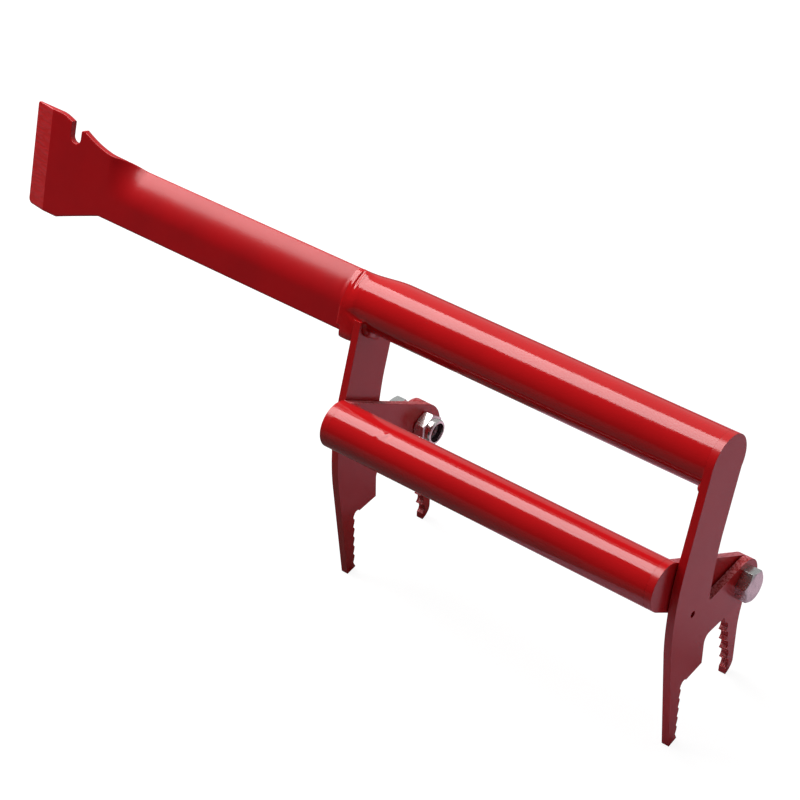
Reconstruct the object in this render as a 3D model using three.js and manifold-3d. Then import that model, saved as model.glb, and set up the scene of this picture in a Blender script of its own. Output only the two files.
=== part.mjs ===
// Beehive frame grip with a scraper on the end of its handle.
// Millimetres, +Z up. The grip stands on the four tips of its jaws, with its handles along X.
// It is drawn in the frame of its fixed jaws: x along the handles with 0 on the outer face of the
// right jaw, y away from the front, z along the jaws with 0 on the upper handle's axis.
// The finished group is then tilted about X so that the front and rear jaw tips stand level.
import * as THREE from "three";
import { mergeVertices } from "three/addons/utils/BufferGeometryUtils.js";
import Module from "manifold-3d";

const wasm = await Module();
wasm.setup();

// ---- driving dimensions ----
const clearance = 0.3; // between pieces that meet inside the tilted group
const runningGap = 0.5; // between a fixed jaw and the swing jaw beside it

const upperTubeDiameter = 25;
const upperTubeWall = 2.2;
const lowerTubeDiameter = 21;
const lowerTubeWall = 2;
const lowerTube = { y: -16.6, z: -50.7 }; // axis of the lower handle

const jawSpacing = 166.5; // clear width between the two fixed jaws
const jawThickness = 3.5;
const tubeOverhang = 6.9; // upper handle beyond the left jaw's outer face

const pivot = { y: 44.5, z: -63.9 };
const boltDiameter = 8;
const boltLength = 16;
const headHeight = 5.3;
const acrossFlats = 13;
const nutHeight = 8;
const nutHexHeight = 5.2;
const collarDiameter = 11.8;
// between the left bolt's head and its jaw
const spacerDiameter = 12.8;
const spacerThickness = 2.5;
const springWasherThickness = 2.4;
const springWasherSplit = 1.2;
const springWasherSlant = 30; // degrees
const insertHeight = 1.4;
const insertRecess = 1; // from the collar's rim down to the nylon
const collarWall = 0.6;
const threadEnd = 0.9; // chamfer on the bolt's end
// degrees each fastener is turned about the pivot from having a flat square to the jaw
const boltTurn = { left: 17, right: 0 };
const nutTurn = { left: -21, right: 12 };

const jawBackInset = 0.6; // the fixed jaw's straight back edge, in from the back of the upper handle
const jawBackStraightEnd = -34;
const jawBackCurve = { y: 12.5, z: -48 }; // pulls the back edge round towards the ear
const copeWingHeight = 5.9; // below the tube's axis, where the thin wings of the cope are cut off
const jawBendStart = -42; // where the front edge leaves the vertical
const jawBendRadius = 110;
const frontTip = { y: 16.6, z: -132 };
const fixedEarRadius = 10.3;
const fixedEarRoot = { y: 16.4, z: -64.5 };
const fixedEarFillet = { y: 0.6, z: 2.4 };
const fixedEarRun = { y: 2.2, z: 0.9 };
const fixedEarBottomAngle = 18; // degrees, slope of the ear's lower edge
const mouthRoot = { y: 22.4, z: -82.6 }; // where the ear's lower edge meets the jaw
const mouthFillet = 3;
const mouthCorner = { y: 25.8, z: -95.6 };
const mouthStep = { y: 15.4, z: -100.1 };
const gulletRound = { y: 0.9, z: 0.5 };
const tipFlatEnd = { y: 21.5, z: -129.4 }; // where the front teeth end and the cut tip begins
const paintHole = { y: 4.8, z: -66.9, diameter: 3 };

const swingTopSlope = 12.5; // degrees the swing jaw's top edge falls towards the pivot
const swingEarRadius = 15.4;
const swingEarSetback = 1.3; // centre of the ear's round end in front of the pivot
const swingArmBottom = { y: 37.5, z: -78 };
const swingArmRound = { y: -3.6, z: 7 }; // pulls the arm's lower edge round into the claw
const swingBackBend = { y: 57.4, z: -82 };
const swingBackCurve = { y: 60, z: -91.6 };
const rearHeel = { y: 64.8, z: -107.5 };
const rearHeelRound = { y: 1.3, z: -4.2 };
const rearTip = { y: 61.6, z: -114.8 };

const teeth = 5;
const frontTeethStart = { y: 12, z: -103 };
const frontTeethEnd = { y: 19.3, z: -127 };
const frontToothDepth = 0.9;
const frontToothLedge = 0.3; // share of a tooth's pitch taken by its ledge
const rearTeethStart = { y: 47.1, z: -85.7 };
const rearTeethEnd = { y: 60.8, z: -111.8 };
const rearToothDepth = 2;

const scraperLength = 186.5;
const scraperSheet = 3;
const bladeTop = 25.7; // heights measured from the upper handle's axis
const bladeBottom = -22.2;
const bladeShoulder = 16; // lengths measured from the blade's edge
const bladeLip = 23;
const bladeLipDrop = 1.9;
const bladeLipSweep = 1.6; // how sharply the top edge turns down to the lip
const notchCentre = 26.1;
const notchWidth = 6.2;
const notchBottom = 14.7;
const notchPocket = { shift: 0.75, radius: 3.25 }; // round bottom, shifted towards the blade's edge
const notchLipHeight = 21.4; // top of the hook beside the notch
const hookPeak = 30.8;
const hookHeight = 22;
const hookEnd = 52.8;
const bellyEnd = 19.8;
const neckStart = 45.7;
const bevelWidth = 11.2;
const bevelDepth = 2.2;
const endSkew = 0.054; // how far the ground end leans out of square, per millimetre of height
const shankBottom = -13;
const shankFlatTop = -3;
const shankBendRadius = 19;
const shankBendAngle = 58; // degrees
const bladeTopCorner = 1.2;
const bladeBottomCorner = 2.2;
const pressStart = 47.3; // where the flat blade starts to curl into the arched shank
const pressEnd = 63.8;

const weldSize = 2.4;
const smallWeldSize = 1.9;
// degrees about the tube, 0 towards the back and 90 up
const scraperWeldArc = [95, 250];
const jawWeldArc = [208, 332];
const swingWeldArc = [-50, 60];

// ---- finishes ----
const finishes = {
  redEnamel: { color: 0xa81016, roughness: 0.22, metalness: 0 },
  zincPlate: { color: 0xc9c4c0, roughness: 0.3, metalness: 1 },
  nylon: { color: 0x1c1a1c, roughness: 0.55, metalness: 0 },
};

// ---- derived places ----
const upperRadius = upperTubeDiameter / 2;
const jawBackEdge = upperRadius - jawBackInset;
const lowerRadius = lowerTubeDiameter / 2;
const rightInner = -jawThickness;
const leftInner = rightInner - jawSpacing;
const leftOuter = leftInner - jawThickness;
const seam = leftOuter - tubeOverhang; // end of the upper handle, where the scraper is welded on
const swingOuter = rightInner - runningGap; // right swing jaw, the face beside its fixed jaw
const swingInner = swingOuter - jawThickness;
const leftSwingOuter = leftInner + runningGap;
const leftSwingInner = leftSwingOuter + jawThickness;
const holeRadius = boltDiameter / 2 + clearance;
const radians = THREE.MathUtils.degToRad;

// ---- helpers ----
const yzToWorld = new THREE.Matrix4().makeBasis(
  new THREE.Vector3(0, 1, 0),
  new THREE.Vector3(0, 0, 1),
  new THREE.Vector3(1, 0, 0),
);

function toSolid(geometry) {
  const plain = geometry.clone();
  plain.deleteAttribute("normal");
  plain.deleteAttribute("uv");
  const merged = mergeVertices(plain, 1e-4);
  return new wasm.Manifold(new wasm.Mesh({
    numProp: 3,
    vertProperties: Float32Array.from(merged.attributes.position.array),
    triVerts: Uint32Array.from(merged.index.array),
  }));
}

function toGeometry(solid) {
  const mesh = solid.getMesh();
  const geometry = new THREE.BufferGeometry();
  geometry.setAttribute("position", new THREE.BufferAttribute(mesh.vertProperties, 3));
  geometry.setIndex(new THREE.BufferAttribute(mesh.triVerts, 1));
  return geometry;
}

// A shape drawn in y and z, made a plate from x0 to x1.
function plate(shape, x0, x1, curveSegments = 14) {
  const geometry = new THREE.ExtrudeGeometry(shape, { depth: x1 - x0, bevelEnabled: false, curveSegments });
  geometry.applyMatrix4(yzToWorld);
  geometry.translate(x0, 0, 0);
  return toSolid(geometry);
}

// A round bar along X from x0 to x1 about the axis at y, z.
function bar(radius, x0, x1, { y = 0, z = 0 } = {}, segments = 72) {
  const geometry = new THREE.CylinderGeometry(radius, radius, x1 - x0, segments);
  geometry.rotateZ(Math.PI / 2);
  geometry.translate((x0 + x1) / 2, y, z);
  return toSolid(geometry);
}

function tube(radius, wall, x0, x1, axis) {
  return bar(radius, x0, x1, axis).subtract(bar(radius - wall, x0 - 1, x1 + 1, axis));
}

// The point where a line from `from` touches the circle, on the side given by +1 or -1.
function tangentPoint(centre, radius, from, side) {
  const dy = from.y - centre.y;
  const dz = from.z - centre.z;
  const distance = Math.hypot(dy, dz);
  const angle = Math.atan2(dz, dy) + side * Math.acos(radius / distance);
  return { y: centre.y + radius * Math.cos(angle), z: centre.z + radius * Math.sin(angle), angle };
}

// Hooked teeth: from each root a short ledge runs out, then the edge falls back to the next root.
function hookedTeeth(shape, start, end, depth, count) {
  const step = { y: (end.y - start.y) / count, z: (end.z - start.z) / count };
  const pitch = Math.hypot(step.y, step.z);
  const out = { y: -step.z / pitch * depth, z: step.y / pitch * depth };
  for (let i = 0; i < count; i += 1) {
    const y = start.y + step.y * i;
    const z = start.z + step.z * i;
    shape.lineTo(y + step.y * frontToothLedge + out.y, z + step.z * frontToothLedge + out.z);
    const middle = (1 + frontToothLedge) / 2;
    shape.quadraticCurveTo(
      y + step.y * middle + out.y * 0.7, z + step.z * middle + out.z * 0.7,
      y + step.y, z + step.z,
    );
  }
}

// Round scallops: each is an arc that dips by `depth` into the plate between two sharp cusps.
function scallops(shape, start, end, depth, count) {
  const step = { y: (end.y - start.y) / count, z: (end.z - start.z) / count };
  const pitch = Math.hypot(step.y, step.z);
  const radius = (pitch * pitch / 4 + depth * depth) / (2 * depth);
  const half = Math.asin(pitch / 2 / radius);
  const inward = { y: step.z / pitch, z: -step.y / pitch };
  for (let i = 0; i < count; i += 1) {
    const y = start.y + step.y * (i + 0.5) - inward.y * (radius - depth);
    const z = start.z + step.z * (i + 0.5) - inward.z * (radius - depth);
    const middle = Math.atan2(inward.z, inward.y);
    shape.absarc(y, z, radius, middle - half, middle + half, false);
  }
}

// ---- fixed jaws ----
// The profile shared by both fixed jaws, below the part that meets the upper handle.
function fixedJawBody(shape) {
  const topAngle = Math.atan2(pivot.z - fixedEarRoot.z, pivot.y - fixedEarRoot.y)
    + Math.asin(fixedEarRadius / Math.hypot(pivot.y - fixedEarRoot.y, pivot.z - fixedEarRoot.z));
  const bottomAngle = radians(fixedEarBottomAngle);
  shape.lineTo(jawBackEdge, jawBackStraightEnd);
  shape.quadraticCurveTo(
    jawBackCurve.y, jawBackCurve.z,
    fixedEarRoot.y - fixedEarFillet.y, fixedEarRoot.z + fixedEarFillet.z,
  );
  shape.quadraticCurveTo(
    fixedEarRoot.y, fixedEarRoot.z,
    fixedEarRoot.y + fixedEarRun.y, fixedEarRoot.z + fixedEarRun.z,
  );
  shape.absarc(pivot.y, pivot.z, fixedEarRadius, Math.PI / 2 + topAngle, bottomAngle - Math.PI / 2, true);
  const edgeEnd = mouthRoot.y + mouthFillet;
  const run = (pivot.y + fixedEarRadius * Math.sin(bottomAngle) - edgeEnd) * Math.tan(bottomAngle);
  const rootZ = pivot.z - fixedEarRadius * Math.cos(bottomAngle) - run;
  shape.lineTo(edgeEnd, rootZ);
  shape.quadraticCurveTo(
    mouthRoot.y - mouthFillet / 15, rootZ - mouthFillet / 3,
    mouthRoot.y + mouthFillet / 7.5, mouthRoot.z - mouthFillet,
  );
  shape.lineTo(mouthCorner.y, mouthCorner.z);
  shape.lineTo(mouthStep.y, mouthStep.z);
  const gulletTop = mouthStep.z + gulletRound.z;
  shape.lineTo(mouthStep.y - gulletRound.y, gulletTop);
  shape.quadraticCurveTo(frontTeethStart.y, gulletTop, frontTeethStart.y, frontTeethStart.z);
  hookedTeeth(shape, frontTeethStart, frontTeethEnd, frontToothDepth, teeth);
  shape.lineTo(tipFlatEnd.y, tipFlatEnd.z);
  shape.lineTo(frontTip.y, frontTip.z);
  // straight lower part of the front edge, tangent to the bend above it
  const bendCentre = { y: -upperRadius + jawBendRadius, z: jawBendStart };
  const touch = tangentPoint(bendCentre, jawBendRadius, frontTip, -1);
  shape.lineTo(touch.y, touch.z);
  shape.absarc(bendCentre.y, bendCentre.z, jawBendRadius, touch.angle, -Math.PI, true);
}

function drillFixedJaw(solid, x0, x1) {
  return solid
    .subtract(bar(holeRadius, x0 - 1, x1 + 1, pivot, 40))
    .subtract(bar(paintHole.diameter / 2, x0 - 1, x1 + 1, paintHole, 20));
}

// The right jaw caps the end of the upper handle with a round top flush with the tube.
function rightFixedJaw() {
  const shape = new THREE.Shape();
  const backAngle = -Math.acos(jawBackEdge / upperRadius);
  shape.absarc(0, 0, upperRadius, Math.PI, backAngle, true);
  fixedJawBody(shape);
  return drillFixedJaw(plate(shape, rightInner, 0), rightInner, 0);
}

// The left jaw is coped to the underside of the upper handle, which runs on over it.
function leftFixedJaw() {
  const shape = new THREE.Shape();
  const cope = upperRadius + clearance;
  const wing = -copeWingHeight;
  const side = Math.sqrt(cope * cope - wing * wing);
  shape.moveTo(-upperRadius, wing);
  shape.lineTo(-side, wing);
  shape.absarc(0, 0, cope, Math.atan2(wing, -side), Math.atan2(wing, side), false);
  shape.lineTo(jawBackEdge, wing);
  fixedJawBody(shape);
  return drillFixedJaw(plate(shape, leftOuter, leftInner), leftOuter, leftInner);
}

// ---- swing jaws ----
// A round front end flush with the lower handle, an arm back to the pivot and a claw down from it.
function swingJaw(x0, x1) {
  const slope = radians(swingTopSlope);
  const shape = new THREE.Shape();
  const bottom = tangentPoint(lowerTube, lowerRadius, swingArmBottom, -1);
  const topStart = {
    y: lowerTube.y + lowerRadius * Math.sin(slope),
    z: lowerTube.z + lowerRadius * Math.cos(slope),
  };
  // the ear's round end is tangent to the top edge and stands clear around the bolt
  const earCentre = { y: pivot.y - swingEarSetback, z: 0 };
  const earTouch = earCentre.y + swingEarRadius * Math.sin(slope);
  const earTop = topStart.z - (earTouch - topStart.y) * Math.tan(slope);
  earCentre.z = earTop - swingEarRadius * Math.cos(slope);
  shape.absarc(lowerTube.y, lowerTube.z, lowerRadius, bottom.angle, Math.PI / 2 - slope - 2 * Math.PI, true);
  shape.absarc(earCentre.y, earCentre.z, swingEarRadius, Math.PI / 2 - slope, 0, true);
  shape.quadraticCurveTo(swingBackBend.y, swingBackBend.z, swingBackCurve.y, swingBackCurve.z);
  shape.lineTo(rearHeel.y, rearHeel.z);
  shape.quadraticCurveTo(rearHeel.y + rearHeelRound.y, rearHeel.z + rearHeelRound.z, rearTip.y, rearTip.z);
  shape.lineTo(rearTeethEnd.y, rearTeethEnd.z);
  scallops(shape, rearTeethEnd, rearTeethStart, rearToothDepth, teeth);
  shape.quadraticCurveTo(
    rearTeethStart.y + swingArmRound.y, rearTeethStart.z + swingArmRound.z,
    swingArmBottom.y, swingArmBottom.z,
  );
  return plate(shape, x0, x1).subtract(bar(holeRadius, x0 - 1, x1 + 1, pivot, 40));
}

// ---- scraper ----
// One pressed sheet. Seen flat it has an upper and a lower edge, given here as heights for a
// distance d from the blade's edge; the press then curls its upper side into the arched shank.
function upperEdge(d) {
  const flatTop = shankFlatTop + shankBendRadius * radians(shankBendAngle);
  if (d < bladeTopCorner) {
    return bladeTop - bladeTopCorner + Math.sqrt(bladeTopCorner ** 2 - (bladeTopCorner - d) ** 2);
  }
  if (d < bladeShoulder) return bladeTop;
  if (d < bladeLip) {
    return bladeTop - bladeLipDrop * ((d - bladeShoulder) / (bladeLip - bladeShoulder)) ** bladeLipSweep;
  }
  const notchEnd = notchCentre + notchWidth / 2;
  if (d < notchEnd) {
    const lipTop = bladeTop - bladeLipDrop;
    return lipTop + (notchLipHeight - lipTop) * (d - bladeLip) / (notchEnd - bladeLip);
  }
  if (d < hookPeak) return notchLipHeight + (hookHeight - notchLipHeight) * (d - notchEnd) / (hookPeak - notchEnd);
  if (d < hookEnd) return flatTop + (hookHeight - flatTop) * ((hookEnd - d) / (hookEnd - hookPeak)) ** 2;
  return flatTop;
}

function lowerEdge(d) {
  if (d < bladeBottomCorner) {
    return bladeBottom + bladeBottomCorner - Math.sqrt(bladeBottomCorner ** 2 - (bladeBottomCorner - d) ** 2);
  }
  if (d < bellyEnd) return bladeBottom;
  if (d < neckStart) return bladeBottom + (shankBottom - bladeBottom) * (d - bellyEnd) / (neckStart - bellyEnd);
  return shankBottom;
}

// Distances from the blade's edge at which the sheet has a row of points.
function sheetStations() {
  const marks = [0, 0.2, 0.6, bladeTopCorner, bladeBottomCorner, bevelWidth, bladeShoulder, bellyEnd,
    bladeLip, notchCentre + notchWidth / 2, hookPeak, neckStart, hookEnd, pressEnd, scraperLength];
  marks.sort((a, b) => a - b);
  const stations = [0];
  for (let i = 1; i < marks.length; i += 1) {
    const span = marks[i] - marks[i - 1];
    const parts = span > 60 ? 2 : Math.max(1, Math.round(span / 2.2));
    for (let k = 1; k <= parts; k += 1) stations.push(marks[i - 1] + span * k / parts);
  }
  return stations;
}

function pressPoint(d, height, inner) {
  const curl = THREE.MathUtils.smoothstep(d, pressStart, pressEnd);
  const rise = Math.max(0, height - shankFlatTop);
  const angle = rise * curl / shankBendRadius;
  const radius = shankBendRadius / Math.max(curl, 1e-6);
  const bevel = bevelDepth * Math.max(0, 1 - d / bevelWidth);
  let y = -upperRadius + (curl > 0 ? radius * (1 - Math.cos(angle)) : 0);
  let z = curl > 0 && rise > 0 ? shankFlatTop + radius * Math.sin(angle) : height;
  if (inner) {
    y += scraperSheet * Math.cos(angle);
    z -= scraperSheet * Math.sin(angle);
  } else {
    y += bevel;
  }
  const lean = endSkew * height * (1 - THREE.MathUtils.smoothstep(d, 0, neckStart));
  return [seam - scraperLength + d - lean, y, z];
}

function scraper() {
  const stations = sheetStations();
  const rows = 16;
  const geometry = new THREE.BoxGeometry(1, 1, 1, stations.length - 1, 1, rows);
  const position = geometry.attributes.position;
  for (let i = 0; i < position.count; i += 1) {
    const d = stations[Math.round((position.getX(i) + 0.5) * (stations.length - 1))];
    const share = Math.round((position.getZ(i) + 0.5) * rows) / rows;
    const height = lowerEdge(d) + (upperEdge(d) - lowerEdge(d)) * share;
    position.setXYZ(i, ...pressPoint(d, height, position.getY(i) > 0));
  }
  const notchX = seam - scraperLength + notchCentre - endSkew * bladeTop * 0.5;
  const notch = new THREE.Shape();
  notch.moveTo(notchX + notchWidth / 2, bladeTop + 5);
  notch.lineTo(notchX - notchWidth / 2, bladeTop + 5);
  notch.absarc(notchX, notchBottom + notchWidth / 2, notchWidth / 2, Math.PI, 2 * Math.PI, false);
  const pocket = new THREE.Shape();
  pocket.absarc(notchX - notchPocket.shift, notchBottom + notchWidth / 2, notchPocket.radius, 0, 2 * Math.PI, false);
  const cuts = [notch, pocket].map((shape) => {
    const cutter = new THREE.ExtrudeGeometry(shape, { depth: 20, bevelEnabled: false, curveSegments: 12 });
    return toSolid(cutter.rotateX(Math.PI / 2)); // drawn in x and z, cutting along Y
  });
  return toSolid(geometry).subtract(cuts[0].add(cuts[1]));
}

// ---- welds ----
// A quarter-round bead between a tube and a flat face at x, on the side `side` of that face,
// from one angle to another (degrees, 0 towards the back, 90 up).
function filletWeld(axis, tubeRadius, x, side, size, from, to) {
  const ring = new THREE.TorusGeometry(tubeRadius, size, 16, 96);
  ring.applyMatrix4(yzToWorld);
  ring.translate(x, axis.y, axis.z);
  const reach = tubeRadius + 2 * size;
  const slice = new THREE.Shape();
  slice.moveTo(axis.y, axis.z);
  slice.absarc(axis.y, axis.z, reach, radians(from), radians(to), false);
  const near = x + side * clearance;
  const far = x + side * 2 * size;
  return toSolid(ring)
    .intersect(plate(slice, Math.min(near, far), Math.max(near, far), 24))
    .subtract(bar(tubeRadius + clearance, x - 3 * size, x + 3 * size, axis, 96));
}

// ---- fasteners, drawn along +Z with the seat of the head or nut at 0 ----
function lathe(points, segments = 40) {
  return toSolid(new THREE.LatheGeometry(points.map(([r, h]) => new THREE.Vector2(r, h)), segments)
    .rotateX(Math.PI / 2));
}

function hexagon(height) {
  const prism = new THREE.CylinderGeometry(acrossFlats / Math.sqrt(3), acrossFlats / Math.sqrt(3), height, 6);
  prism.rotateX(Math.PI / 2);
  prism.translate(0, 0, height / 2);
  return toSolid(prism);
}

function hexBolt() {
  const corner = acrossFlats / Math.sqrt(3);
  const chamfer = corner - acrossFlats / 2 * 0.96;
  const dome = lathe([[0, 0], [corner, 0], [corner, headHeight - chamfer * 0.55],
    [corner - chamfer, headHeight], [0, headHeight]]);
  const thread = boltDiameter / 2;
  const shank = lathe([[0, -boltLength], [thread - threadEnd, -boltLength],
    [thread, -boltLength + threadEnd], [thread, 0.5], [0, 0.5]]);
  return hexagon(headHeight).intersect(dome).add(shank);
}

function lockNut() {
  const corner = acrossFlats / Math.sqrt(3);
  const collar = collarDiameter / 2;
  const mouth = holeRadius + 0.25;
  const outside = lathe([[0, 0], [corner - 0.8, 0], [corner, 0.5], [corner, nutHexHeight - 0.6],
    [collar + 0.1, nutHexHeight], [collar, nutHexHeight + 0.2], [collar - 0.05, nutHeight - 0.9],
    [collar - 0.4, nutHeight - 0.25], [collar - 0.9, nutHeight], [0, nutHeight]]);
  const body = hexagon(nutHexHeight).add(lathe([[0, nutHexHeight - 1], [collar, nutHexHeight - 1],
    [collar, nutHeight], [0, nutHeight]]));
  const pocketTop = nutHeight - insertRecess;
  const pocketBottom = pocketTop - insertHeight - 2 * clearance;
  const pocket = collar - collarWall;
  const bore = lathe([[0, -1], [holeRadius, -1], [holeRadius, pocketBottom], [pocket, pocketBottom],
    [pocket, pocketTop], [mouth, pocketTop], [mouth, nutHeight + 1], [0, nutHeight + 1]]);
  return body.intersect(outside).subtract(bore);
}

function nylonInsert() {
  const inner = holeRadius;
  const outer = collarDiameter / 2 - collarWall - clearance;
  const top = nutHeight - insertRecess - clearance;
  const profile = [[inner, top - insertHeight], [outer, top - insertHeight], [outer, top], [inner, top],
    [inner, top - insertHeight]];
  return lathe(profile);
}

function washer(thickness) {
  const outer = spacerDiameter / 2;
  return lathe([[holeRadius, 0], [outer, 0], [outer, thickness], [holeRadius, thickness], [holeRadius, 0]]);
}

// A spring washer is the same ring with a slanted split.
function springWasher() {
  const slot = new THREE.BoxGeometry(springWasherSplit, spacerDiameter, 4 * springWasherThickness);
  slot.rotateY(radians(springWasherSlant));
  slot.translate(0, spacerDiameter / 2, springWasherThickness / 2);
  return washer(springWasherThickness).subtract(toSolid(slot));
}

// ---- assembly ----
const grip = new THREE.Group();

function addPiece(name, solid, finish) {
  const mesh = new THREE.Mesh(toGeometry(solid), new THREE.MeshStandardMaterial(finishes[finish]));
  mesh.name = name;
  grip.add(mesh);
  return mesh;
}

// Seats a fastener at x on the pivot, pointing along +X or -X, its flats turned by `turn` degrees.
function seatFastener(mesh, x, direction, turn = 0) {
  mesh.rotation.set(0, direction * Math.PI / 2, radians(direction * turn));
  mesh.position.set(x, pivot.y, pivot.z);
}

addPiece("scraper", scraper(), "redEnamel");
addPiece("upper_handle_tube", tube(upperRadius, upperTubeWall, seam, rightInner), "redEnamel");
addPiece("left_fixed_jaw", leftFixedJaw(), "redEnamel");
addPiece("right_fixed_jaw", rightFixedJaw(), "redEnamel");
addPiece("lower_handle_tube", tube(lowerRadius, lowerTubeWall, leftSwingInner, swingInner, lowerTube), "redEnamel");
addPiece("left_swing_jaw", swingJaw(leftSwingOuter, leftSwingInner), "redEnamel");
addPiece("right_swing_jaw", swingJaw(swingInner, swingOuter), "redEnamel");

const upperTube = { y: 0, z: 0 };
addPiece("scraper_weld", filletWeld(upperTube, upperRadius, seam, 1, weldSize, ...scraperWeldArc), "redEnamel");
addPiece("left_jaw_outer_weld",
  filletWeld(upperTube, upperRadius, leftOuter, -1, weldSize, ...jawWeldArc), "redEnamel");
addPiece("left_jaw_inner_weld",
  filletWeld(upperTube, upperRadius, leftInner, 1, weldSize, ...jawWeldArc), "redEnamel");
addPiece("right_jaw_weld",
  filletWeld(upperTube, upperRadius, rightInner, -1, weldSize, ...jawWeldArc), "redEnamel");
addPiece("left_swing_weld",
  filletWeld(lowerTube, lowerRadius, leftSwingInner, 1, smallWeldSize, ...swingWeldArc), "redEnamel");
addPiece("right_swing_weld",
  filletWeld(lowerTube, lowerRadius, swingInner, -1, smallWeldSize, ...swingWeldArc), "redEnamel");

const rightNutSeat = swingInner - clearance;
const leftNutSeat = leftSwingInner + clearance;
seatFastener(addPiece("right_pivot_bolt", hexBolt(), "zincPlate"), 0, 1, boltTurn.right);
const springSeat = leftOuter - spacerThickness;
seatFastener(addPiece("left_spacer", washer(spacerThickness), "zincPlate"), leftOuter, -1);
seatFastener(addPiece("left_spring_washer", springWasher(), "zincPlate"), springSeat, -1);
seatFastener(addPiece("left_pivot_bolt", hexBolt(), "zincPlate"), springSeat - springWasherThickness, -1,
  boltTurn.left);
seatFastener(addPiece("right_lock_nut", lockNut(), "zincPlate"), rightNutSeat, -1, nutTurn.right);
seatFastener(addPiece("left_lock_nut", lockNut(), "zincPlate"), leftNutSeat, 1, nutTurn.left);
seatFastener(addPiece("right_nylon_insert", nylonInsert(), "nylon"), rightNutSeat, -1);
seatFastener(addPiece("left_nylon_insert", nylonInsert(), "nylon"), leftNutSeat, 1);

// Tilt the grip until its front and rear tips are level, then stand it on z = 0 about its middle.
grip.rotation.x = -Math.atan2(rearTip.z - frontTip.z, rearTip.y - frontTip.y);
const standing = new THREE.Group();
standing.add(grip);
standing.updateMatrixWorld(true);
const box = new THREE.Box3().setFromObject(grip, true);
grip.position.set(-(box.min.x + box.max.x) / 2, -(box.min.y + box.max.y) / 2, -box.min.z);

export default standing;
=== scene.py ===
# Beehive frame grip with a scraper on its handle: red enamel over welded steel, zinc plated fasteners.
# Sizes in the dictionaries are millimetres in the jaws' own frame: x along the handles with 0 on the
# right jaw's outer face, y towards the back, z up the jaws with 0 on the upper handle's axis.
import math

import bmesh
import bpy
import numpy as np
from mathutils import Matrix, Vector


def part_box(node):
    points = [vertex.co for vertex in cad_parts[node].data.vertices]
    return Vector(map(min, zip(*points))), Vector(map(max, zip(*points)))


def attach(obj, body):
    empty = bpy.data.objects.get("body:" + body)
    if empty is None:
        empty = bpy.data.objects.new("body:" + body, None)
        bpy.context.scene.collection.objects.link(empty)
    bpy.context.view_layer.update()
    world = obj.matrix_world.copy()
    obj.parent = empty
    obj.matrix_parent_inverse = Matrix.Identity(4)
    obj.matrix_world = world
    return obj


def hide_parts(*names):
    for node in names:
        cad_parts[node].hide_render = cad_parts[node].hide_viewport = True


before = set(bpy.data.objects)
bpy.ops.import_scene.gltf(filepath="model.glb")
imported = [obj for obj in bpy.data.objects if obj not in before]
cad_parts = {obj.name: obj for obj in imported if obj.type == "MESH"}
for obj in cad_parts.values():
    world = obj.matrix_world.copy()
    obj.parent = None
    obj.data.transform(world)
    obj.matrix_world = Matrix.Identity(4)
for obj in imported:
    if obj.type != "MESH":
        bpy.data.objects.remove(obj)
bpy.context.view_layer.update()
print("loaded", len(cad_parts), "nodes")

stance = {
    "tilt": 20.918,  # degrees the jaws lean so that front and rear tips stand level
    "rightFace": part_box("right_fixed_jaw")[1].x * 1000,
    "axisY": 6.4917,  # upper handle's axis, above the floor's origin
    "axisZ": 129.2269,
}
seam = -180.4  # where the scraper is welded to the upper handle


def toRow(x, y, z):
    # turns the jaws' own millimetres into the standing object's metres: a tilt about X, then a shift
    x, y, z = np.broadcast_arrays(np.asarray(x, float), y, z)
    c, s = math.cos(math.radians(stance["tilt"])), math.sin(math.radians(stance["tilt"]))
    return np.stack([
        x + stance["rightFace"],
        y * c + z * s + stance["axisY"],
        -y * s + z * c + stance["axisZ"],
    ], axis=-1) / 1000


def smoothRamp(x, low, high):
    # 0 below low, 1 above high, and the cubic 3t^2 - 2t^3 between
    t = np.clip((np.asarray(x, float) - low) / (high - low), 0, 1)
    return t * t * (3 - 2 * t)


def bump(x, centre, width):
    # a bell: e to the minus square of the distance over the width
    return np.exp(-((np.asarray(x, float) - centre) / width) ** 2)


def ripple(x, y, seed):
    # a fixed sum of five sine waves in x and y, between about -1 and 1
    rng = np.random.default_rng(seed)
    total = 0
    for k in range(5):
        fx, fy, phase = rng.uniform(-1, 1), rng.uniform(-1, 1), rng.uniform(0, 6.28)
        total = total + np.sin((fx * x + fy * y) * (1 + 0.7 * k) + phase) / (1 + 0.4 * k)
    return total / 3


def meshFromGrid(name, points, loopRows=False, loopColumns=False, capRows=False, crease=38):
    # rows by columns of points joined by four-sided faces; a loop joins the last to the first,
    # and capRows closes the first and last row with one face each
    rows, columns = points.shape[:2]
    index = np.arange(rows * columns).reshape(rows, columns)
    down = np.roll(index, -1, axis=0) if loopRows else index[1:]
    top = index if loopRows else index[:-1]
    if loopColumns:
        faces = np.stack([top, down, np.roll(down, -1, axis=1), np.roll(top, -1, axis=1)], axis=-1)
    else:
        faces = np.stack([top[:, :-1], down[:, :-1], down[:, 1:], top[:, 1:]], axis=-1)
    faces = faces.reshape(-1, 4)
    flat = points.reshape(-1, 3)
    a, b, c, d = (flat[faces[:, k]] for k in range(4))
    volume = np.einsum("ij,ij->", a, np.cross(b, c)) + np.einsum("ij,ij->", a, np.cross(c, d))
    faces = faces.tolist()
    if capRows:
        faces += [index[0].tolist(), index[-1][::-1].tolist()]
    if volume < 0:
        faces = [face[::-1] for face in faces]
    mesh = bpy.data.meshes.new(name)
    mesh.from_pydata(flat.tolist(), [], faces)
    mesh.update()
    mesh.shade_smooth()
    mesh.set_sharp_from_angle(angle=math.radians(crease))
    piece = bpy.data.objects.new(name, mesh)
    bpy.context.scene.collection.objects.link(piece)
    return piece


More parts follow.
